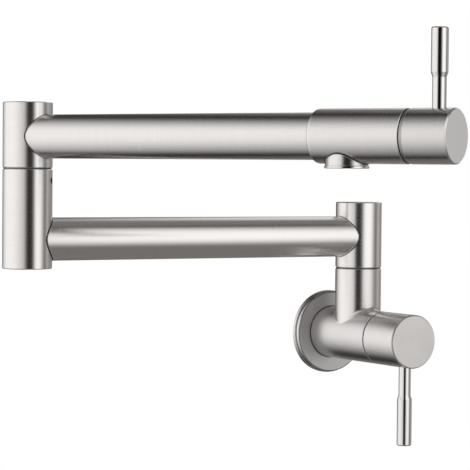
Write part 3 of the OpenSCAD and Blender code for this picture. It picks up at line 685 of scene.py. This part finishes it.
def lay_beads():
    for name, (centre, bar_axis, bar_r, branch_axis, branch_r, body) in BRANCHES.items():
        joint = (centre, bar_axis, bar_r, branch_axis, branch_r)
        # A dark bead paints the shade in the joint; a bright one lies on the edge beside it
        add_shade_bead(name, saddle(*joint, 0), SHADE_BEAD_R, body)
        add_edge(name + "_edge", saddle(*joint, BEAD_LIFT), BEAD_R, body)
    # Dark rings paint the shadow where the barrel meets the flange, and shade on the flange's face edge
    # and step
    step_middle = valve_ring(FLANGE_T + STEP_CONE / 2, (LIP_R + STEP_R) / 2)
    add_shade_bead("flange_joint_shadow", valve_ring(PLATE_T, VALVE_R), SHADE_BEAD_R, "wall_valve")
    add_shade_bead("flange_edge_shade", valve_ring(PLATE_T - FIT_GAP, FACE_R), PLATE_EDGE_R, "wall_valve")
    add_shade_bead("flange_step_shade", step_middle, PLATE_STEP_R, "wall_valve")
    head_gap = head_ring(HEAD_END + HEAD_GAP_ON, HEAD_R - HEAD_RIM)
    head_edge = head_ring(SPOUT_CAP_AT + CAP_EDGE_ON, HEAD_R - CAP_EDGE_IN)
    wall_edge = valve_ring(WALL_CAP_AT + CAP_EDGE_ON, VALVE_R - CAP_EDGE_IN)
    # Dark ring paints the shadow of the head's end on the nut
    add_shade_bead("head_gap_shadow", head_gap, HEAD_GAP_R, "upper_arm")
    add_edge("head_cap_edge", head_edge, CAP_EDGE_R, "spout_handle")
    add_edge("wall_cap_edge", wall_edge, CAP_EDGE_R, "wall_handle")


# Bodies turned about the valve's axis: their steps and the angle past which an edge is sharp
TURN_STEPS = 96
SHARP_ANGLE = math.radians(30)

# Flange of the solid: rim, front, hollow back and boss
FLANGE_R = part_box("wall_flange")[1].x
FLANGE_T = -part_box("wall_flange")[0].y
FLANGE_SKIN = 0.0012
FLANGE_RIM = 0.0024
BOSS_R = 0.0158
BOSS_CLEAR = 0.0005

# Plate of the photo's flange, which stands deeper than the solid's front, with a step in its rim
PLATE_T = 0.0062
LIP_FALL = 0.0005
STEP_IN = 0.0008
STEP_CONE = 0.0002
LIP_R = FLANGE_R - EDGE_BREAK
STEP_R = FLANGE_R - STEP_IN
FACE_R = STEP_R - EDGE_BREAK

# Pipe thread of 14 turns to the inch, with its lead-in at the tip and its run-out at the wall
THREAD_R = half_size("wall_nipple", X)
THREAD_ROOT_R = 0.0093
THREAD_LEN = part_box("wall_nipple")[1].y
PITCH = 0.001814
ROWS_PER_TURN = 10
CREST_FLAT = 1.15
LEAD_IN = 0.0012
RUN_OUT_FROM = 0.0008
RUN_OUT_LEN = 0.0008

# Nipple: its front in the valve body, its bore, and the six-sided key hole by its corners
NIPPLE_FRONT = -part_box("wall_nipple")[0].y
NIPPLE_R = 0.00925
NIPPLE_BORE_R = 0.00555
KEY_SIDES = 6
KEY_R = 0.00699
KEY_DEPTH = 0.007

# Outline of the flange from its rim at the wall round the front to its hollow back, by place along the
# valve's axis and radius
FLANGE_OUTLINE = [
    (0, FLANGE_R - FINE_BREAK),
    (-FINE_BREAK, FLANGE_R),
    (LIP_FALL - FLANGE_T, FLANGE_R),
    (-FLANGE_T, LIP_R),
    (-FLANGE_T - STEP_CONE, STEP_R),
    (EDGE_BREAK - PLATE_T, STEP_R),
    (-PLATE_T, FACE_R),
    (-PLATE_T, VALVE_R + FIT_GAP),
    (-FLANGE_T, VALVE_R + FIT_GAP),
    (-FLANGE_T, NIPPLE_R + SLIP_GAP),
    (-BOSS_CLEAR, NIPPLE_R + SLIP_GAP),
    (-BOSS_CLEAR, BOSS_R),
    (FLANGE_SKIN - FLANGE_T, BOSS_R),
    (FLANGE_SKIN - FLANGE_T, FLANGE_R - FLANGE_RIM),
    (0, FLANGE_R - FLANGE_RIM),
]


def add_turned(name, rings, finish):
    """Closed body about the valve's axis, from rings that say where they lie on it and what their radius
    is at each share of a turn."""
    points = []
    for y, radius in rings:
        for j in range(TURN_STEPS):
            turn = j / TURN_STEPS
            r, angle = radius(turn), 2 * math.pi * turn
            points.append((r * math.cos(angle), y, r * math.sin(angle)))
    body = add_mesh(name, points, net(len(rings), TURN_STEPS, closed=True), FINISHES[finish])
    smooth(body)
    body.data.set_sharp_from_angle(angle=SHARP_ANGLE)
    return body


def even(r):
    """The same radius at every share of a turn."""
    return lambda turn: r


def thread_at(y):
    """Radius of the pipe thread at y into the wall, by share of a turn."""
    cut = clamp((THREAD_LEN - y) / LEAD_IN) * clamp((y - RUN_OUT_FROM) / RUN_OUT_LEN)
    depth = cut * (THREAD_R - THREAD_ROOT_R)

    def radius(turn):
        wave = (y / PITCH - turn) % 1
        return THREAD_ROOT_R + depth * clamp((1 - abs(2 * wave - 1)) * CREST_FLAT)
    return radius


def key_hole(turn):
    """Radius of the key hole at a share of a turn."""
    half_side = math.pi / KEY_SIDES
    off_middle = (turn * KEY_SIDES) % 1 - 0.5
    return KEY_R * math.cos(half_side) / math.cos(2 * half_side * off_middle)


def add_nipple():
    """Nipple with its pipe thread cut as a helix, closed from end to end."""
    rows = int(THREAD_LEN / PITCH * ROWS_PER_TURN)
    thread = [THREAD_LEN * (1 - i / rows) for i in range(rows + 1)]
    rings = [(THREAD_LEN, even(NIPPLE_BORE_R))]
    rings += [(y, thread_at(y)) for y in thread]
    rings += [
        (0, even(NIPPLE_R)),
        (EDGE_BREAK - NIPPLE_FRONT, even(NIPPLE_R)),
        (-NIPPLE_FRONT, even(NIPPLE_R - EDGE_BREAK)),
        (-NIPPLE_FRONT, key_hole),
        (KEY_DEPTH - NIPPLE_FRONT, key_hole),
        (KEY_DEPTH - NIPPLE_FRONT, even(NIPPLE_BORE_R)),
    ]
    nipple = add_turned("pipe_nipple", rings, "machined_brass")
    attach(nipple, "wall_valve")
    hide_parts("wall_nipple")


def add_escutcheon():
    """Wall flange with the photo's deeper, stepped rim, open for the valve body's end."""
    plate = add_turned("escutcheon", [(y, even(r)) for y, r in FLANGE_OUTLINE], "cast_flange")
    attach(plate, "wall_valve")
    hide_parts("wall_flange")


SCENE.view_settings.view_transform = "Standard"
add_camera()
add_world()
for name, screen in SCREENS.items():
    add_screen(name, *screen)

make_finishes()
lay_beads()
add_nipple()
add_escutcheon()
dress_nodes()
add_floor()
